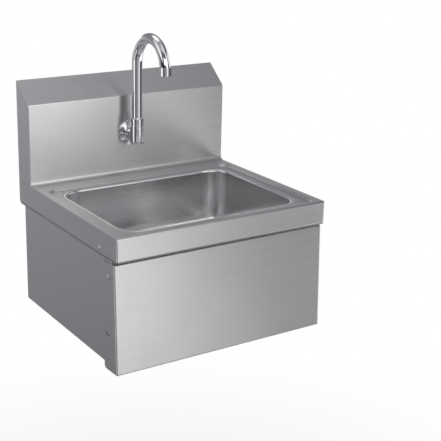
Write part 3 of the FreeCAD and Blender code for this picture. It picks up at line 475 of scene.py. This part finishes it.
def thread(name, foot, axis, length, radius, pitch, slot):
    aside = axis.orthogonal().normalized()
    turns = length / pitch - 1
    steps = round(STEPS_PER_TURN * turns)
    shape = bmesh.new()
    corners = ((radius - RIDGE_SUNK, 0.1), (radius + RIDGE_PROUD, 0.5), (radius - RIDGE_SUNK, 0.9))
    verts = [shape.verts.new(foot + aside * out + axis * (pitch * along)) for out, along in corners]
    edges = [shape.edges.new((a, b)) for a, b in zip(verts, verts[1:] + verts[:1])]
    bmesh.ops.spin(shape, geom=verts + edges, cent=foot, axis=axis, dvec=axis * (pitch * turns / steps),
                   angle=2 * math.pi * turns, steps=steps)
    ends = [edge for edge in shape.edges if edge.is_boundary]
    bmesh.ops.holes_fill(shape, edges=ends, sides=3)
    return new_piece(name, shape, "sink", slot)


RIGHT, UP, BACK = Vector((1, 0, 0)), Vector((0, 0, 1)), Vector((0, 1, 0))
made = []
for side, way in (("hot", -1), ("cold", 1)):
    low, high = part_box("inlet_nipple_" + side)
    middle = (low + high) / 2
    start = Vector(((low.x if way > 0 else high.x) + way * 0.003, middle.y, middle.z))
    radius = (high.z - low.z) / 2
    made.append(thread("thread_inlet_" + side, start, RIGHT * way, 0.0145, radius, PIPE_PITCH, "brass"))

drain_low, drain_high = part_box("drain_body")
drain_y = (drain_low.y + drain_high.y) / 2
nut_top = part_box("tailpiece_nut")[1].z
ring_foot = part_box("drain_locknut")[0].z
tail_start = Vector((0, drain_y, nut_top + 0.0008))
made.append(thread("thread_drain_tail", tail_start, UP, 0.012, 0.024, DRAIN_PITCH, "polished"))
cup_start = Vector((0, drain_y, ring_foot - 0.0152))
made.append(thread("thread_drain_cup", cup_start, UP, 0.0145, 0.0432, DRAIN_PITCH, "polished"))

shank_low, shank_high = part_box("spout_shank")
shank = (shank_low + shank_high) / 2
nut_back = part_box("shank_locknut")[1].y
elbow_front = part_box("supply_elbow")[0].y
shank_start = Vector((0, nut_back + 0.0005, shank.z))
shank_run = elbow_front - nut_back - 0.001
made.append(thread("thread_shank", shank_start, BACK, shank_run, 0.01045, PIPE_PITCH, "brass"))
print("threads:", [(piece.name, len(piece.data.polygons)) for piece in made])

# %% [markdown]
# Aerator screen
#
# A look up into the outlet finds a wire screen. It is a fine grid, trimmed to a disc: each square
# is inset, the middles are taken out, and the strips left between them are pushed up into wires.

# %% aerator screen
outlet_low, outlet_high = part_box("spout_outlet")
outlet = (outlet_low + outlet_high) / 2
shape = bmesh.new()
bmesh.ops.create_grid(shape, x_segments=12, y_segments=12, size=0.0072)
outside = [face for face in shape.faces if face.calc_center_median().length > 0.0068]
bmesh.ops.delete(shape, geom=outside, context="FACES")
cells = bmesh.ops.inset_individual(shape, faces=shape.faces[:], thickness=0.00018, use_even_offset=True)
middles = [face for face in shape.faces if face not in cells["faces"]]
bmesh.ops.delete(shape, geom=middles, context="FACES_ONLY")
raised = bmesh.ops.extrude_face_region(shape, geom=shape.faces[:])["geom"]
bmesh.ops.translate(shape, verts=[v for v in raised if isinstance(v, bmesh.types.BMVert)], vec=(0, 0, 0.0004))
bmesh.ops.translate(shape, verts=shape.verts, vec=(outlet.x, outlet.y, outlet_low.z + 0.0012))
screen = new_piece("aerator_screen", shape, "spout", "steel_rod")
print("screen", len(screen.data.polygons), "faces")

# %% [markdown]
# Return spring
#
# The spring round the valve's stem shortens when the panel is pushed, which a solid can't do. So
# the coil is wound again as a mesh, with the same spin as a thread but a round wire, and it gets
# mesh data of its own.

# %% return spring
WIRE_RADIUS = 0.0007
COIL_TURNS = 5
low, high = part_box("valve_spring")
middle = (low + high) / 2
steps = 36 * COIL_TURNS
rise_per_step = (high.y - low.y - 2 * WIRE_RADIUS) / steps
free_end = Vector((high.x - WIRE_RADIUS, low.y + WIRE_RADIUS, middle.z))
shape = bmesh.new()
bmesh.ops.create_circle(shape, segments=12, radius=WIRE_RADIUS, matrix=Matrix.Translation(free_end))
bmesh.ops.spin(shape, geom=shape.verts[:] + shape.edges[:], cent=middle, axis=BACK,
               dvec=BACK * rise_per_step, angle=2 * math.pi * COIL_TURNS, steps=steps)
bmesh.ops.holes_fill(shape, edges=[edge for edge in shape.edges if edge.is_boundary], sides=12)
for face in shape.faces:
    face.smooth = True
spring = new_piece("return_spring", shape, "sink", "steel_rod")
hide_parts("valve_spring")
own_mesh(spring)
print("spring", len(spring.data.polygons), "faces")

# %% [markdown]
# Floor
#
# The sink hangs on a wall with its rim about 0.86 m above the floor, and the photograph shows
# neither wall nor floor, only white. The floor is a pale disc at its true height, so it carries
# only a faint shadow. Towards its edge it fades into the white that the camera sees beyond it.
# Mirror rays find it dim, so that the sheet seen against it stays grey.

# %% floor
RIM_ABOVE_FLOOR = 0.864
FLOOR_RADIUS = 1.2
floor_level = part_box("sink_top")[1].z - RIM_ABOVE_FLOOR
shape = bmesh.new()
bmesh.ops.create_circle(shape, cap_ends=True, segments=96, radius=FLOOR_RADIUS)
floor_mesh = bpy.data.meshes.new("floor")
shape.to_mesh(floor_mesh)
shape.free()
floor = bpy.data.objects.new("floor", floor_mesh)
floor.location = (0, -0.2, floor_level)
bpy.context.scene.collection.objects.link(floor)

floor_material, tree, shader = new_material("pale floor", (0.93, 0.93, 0.93), 0.0, 0.9)
shader.inputs["Specular IOR Level"].default_value = 0.0
distance = add_node(tree, "ShaderNodeVectorMath", operation="LENGTH")
tree.links.new(object_place(tree), distance.inputs[0])
rays = add_node(tree, "ShaderNodeLightPath")
fade = ramp(tree, calc(tree, "DIVIDE", distance.outputs["Value"], FLOOR_RADIUS), [(0.3, 0.45), (0.95, 1.0)])
seen = calc(tree, "ADD", rays.outputs["Is Camera Ray"], rays.outputs["Is Transmission Ray"], clamp=True)
seen = calc(tree, "MAXIMUM", calc(tree, "MULTIPLY", seen, fade), rays.outputs["Is Glossy Ray"])
white = add_node(tree, "ShaderNodeEmission")
tree.links.new(blend_values(tree, rays.outputs["Is Glossy Ray"], 1.0, 0.2), white.inputs["Strength"])
mix = add_node(tree, "ShaderNodeMixShader")
tree.links.new(seen, mix.inputs[0])
tree.links.new(shader.outputs[0], mix.inputs[1])
tree.links.new(white.outputs[0], mix.inputs[2])
tree.links.new(mix.outputs[0], tree.nodes["Material Output"].inputs["Surface"])
floor_mesh.materials.append(floor_material)
print("floor at z", round(floor_level, 3))

# %% [markdown]
# Studio
#
# Metal shows the room around it, so the room is the light. The camera sees plain white. Mirror
# rays see a dim room with soft cards and black flags hung in it, as a photographer would hang
# them round a steel sink. Each fills a band of height, from one compass angle to another, and
# its sides fade. Zero degrees is in front of the sink and 90 to its right. The front card ends
# sharply at 28 degrees, which makes the splash, the apron and the push panel fall off from left
# to right, and the flags beside it draw the dark lines on the spout. A fit to the photograph's
# tones first showed where the room has to be bright and dark. The cards were then set to keep
# those tones. The dimmer a part of the room is, the more violet its light, as in the
# photograph's shaded sheet.

# %% world
world = bpy.data.worlds.new("studio")
bpy.context.scene.world = world
world.use_nodes = True
tree = world.node_tree
background = tree.nodes["Background"]
direction = add_node(tree, "ShaderNodeSeparateXYZ")
tree.links.new(add_node(tree, "ShaderNodeTexCoord").outputs["Generated"], direction.inputs[0])
turn = calc(tree, "ARCTAN2", direction.outputs[0], calc(tree, "MULTIPLY", direction.outputs[1], -1.0))
turn = calc(tree, "ADD", calc(tree, "DIVIDE", turn, 2 * math.pi), 0.5)
rise = calc(tree, "ADD", calc(tree, "MULTIPLY", direction.outputs[2], 0.5), 0.5)

# %% cards and flags
FLOOR, FOOT, EYE, HEAD, HIGH, OVERHEAD = (-91, -16), (-16, -7), (-7, 10), (10, 30), (30, 50), (50, 91)
WALL = 0.28
FADE_UP = 6
CARDS = {
    # height band, left and right side, brightness, fade of the left and of the right side
    "ceiling": (OVERHEAD, -180, 180, 0.42, 1, 1),
    "front ceiling": (OVERHEAD, -35, 40, 0.85, 40, 40),
    "rear ceiling": (OVERHEAD, 140, -140, 1.55, 60, 60),
    "rear floor": (FLOOR, 105, 172, 0.70, 20, 20),
    "left rear wall": ((-16, -4), -170, -128, 0.52, 20, 20),
    "rear wall": (EYE, 119, -164, 1.46, 38, 30),
    "front left flag": ((-91, 50), -72, -45, 0.08, 16, 16),
    "left flag": (EYE, -115, -12, 0.04, 16, 16),
    "front floor": ((-91, -7), -34, 15, 0.40, 34, 14),
    "right flag": (FOOT, 31, 106, 0.05, 4, 10),
    "right glint": (FOOT, 57, 80, 0.28, 20, 20),
    "high right flag": (HIGH, 40, 110, 0.10, 10, 10),
    "high front flag": (HIGH, -60, 6, 0.14, 12, 12),
    "left floor card": (FLOOR, -132, -92, 1.50, 20, 20),
    "left card's foot": (FOOT, -112, -78, 1.30, 18, 18),
    "left card": (HEAD, -128, -72, 1.15, 18, 18),
    "left card's head": (HIGH, -128, -72, 0.80, 18, 18),
    "front left card": (HEAD, -42, -5, 2.30, 18, 24),
    "front card's foot": (FOOT, 8, 28, 1.30, 12, 5),
    "front card": (EYE, 4, 28, 2.30, 24, 5),
    "front card's head": (HEAD, 6, 27, 2.40, 22, 22),
    "front card's top": (HIGH, 12, 37, 1.15, 12, 12),
    "front right flag": (EYE, 31, 54, 0.04, 4, 10),
    "low front card": (FLOOR, 20, 37, 1.50, 10, 5),
    "right floor card": (FLOOR, 44, 100, 1.70, 8, 30),
    "right card": (EYE, 60, 128, 1.00, 16, 16),
    "right card's head": (HEAD, 54, 100, 0.95, 14, 24),
}


def stops(start, end, start_fade, end_fade, lowest, highest):
    sides = (start - start_fade / 2, start + start_fade / 2, end - end_fade / 2, end + end_fade / 2)
    return [max(lowest, min(highest, side)) for side in sides]


def between(tree, value, places):
    return ramp(tree, value, list(zip(places, (0.0, 1.0, 1.0, 0.0))))


def round_the_room(tree, left, right, left_fade, right_fade):
    if left > right:
        return calc(tree, "SUBTRACT", 1.0, round_the_room(tree, right, left, right_fade, left_fade))
    sides = stops(left, right, left_fade, right_fade, -180, 180)
    return between(tree, turn, [side / 360 + 0.5 for side in sides])


def up_the_room(tree, foot, top):
    sides = stops(foot, top, FADE_UP, FADE_UP, -90, 90)
    return between(tree, rise, [0.5 + 0.5 * math.sin(math.radians(side)) for side in sides])


room = WALL
for band, left, right, brightness, left_fade, right_fade in CARDS.values():
    across = round_the_room(tree, left, right, left_fade, right_fade)
    filled = calc(tree, "MULTIPLY", across, up_the_room(tree, *band))
    room = blend_values(tree, filled, room, brightness)
print("room of", len(CARDS), "cards and flags")

# %% what each kind of ray sees
rays = add_node(tree, "ShaderNodeLightPath")
level = blend_values(tree, rays.outputs["Is Glossy Ray"], 0.92, room)
level = blend_values(tree, rays.outputs["Is Camera Ray"], level, 1.0)
level = blend_values(tree, rays.outputs["Is Transmission Ray"], level, 1.0)
tree.links.new(level, background.inputs["Strength"])
hue = add_node(tree, "ShaderNodeMix", data_type="RGBA")
hue.inputs[6].default_value = (0.90, 0.885, 1.0, 1)
hue.inputs[7].default_value = (1.0, 1.0, 1.0, 1)
tree.links.new(level, hue.inputs[0])
tree.links.new(hue.outputs[2], background.inputs["Color"])
print("world", world.name)
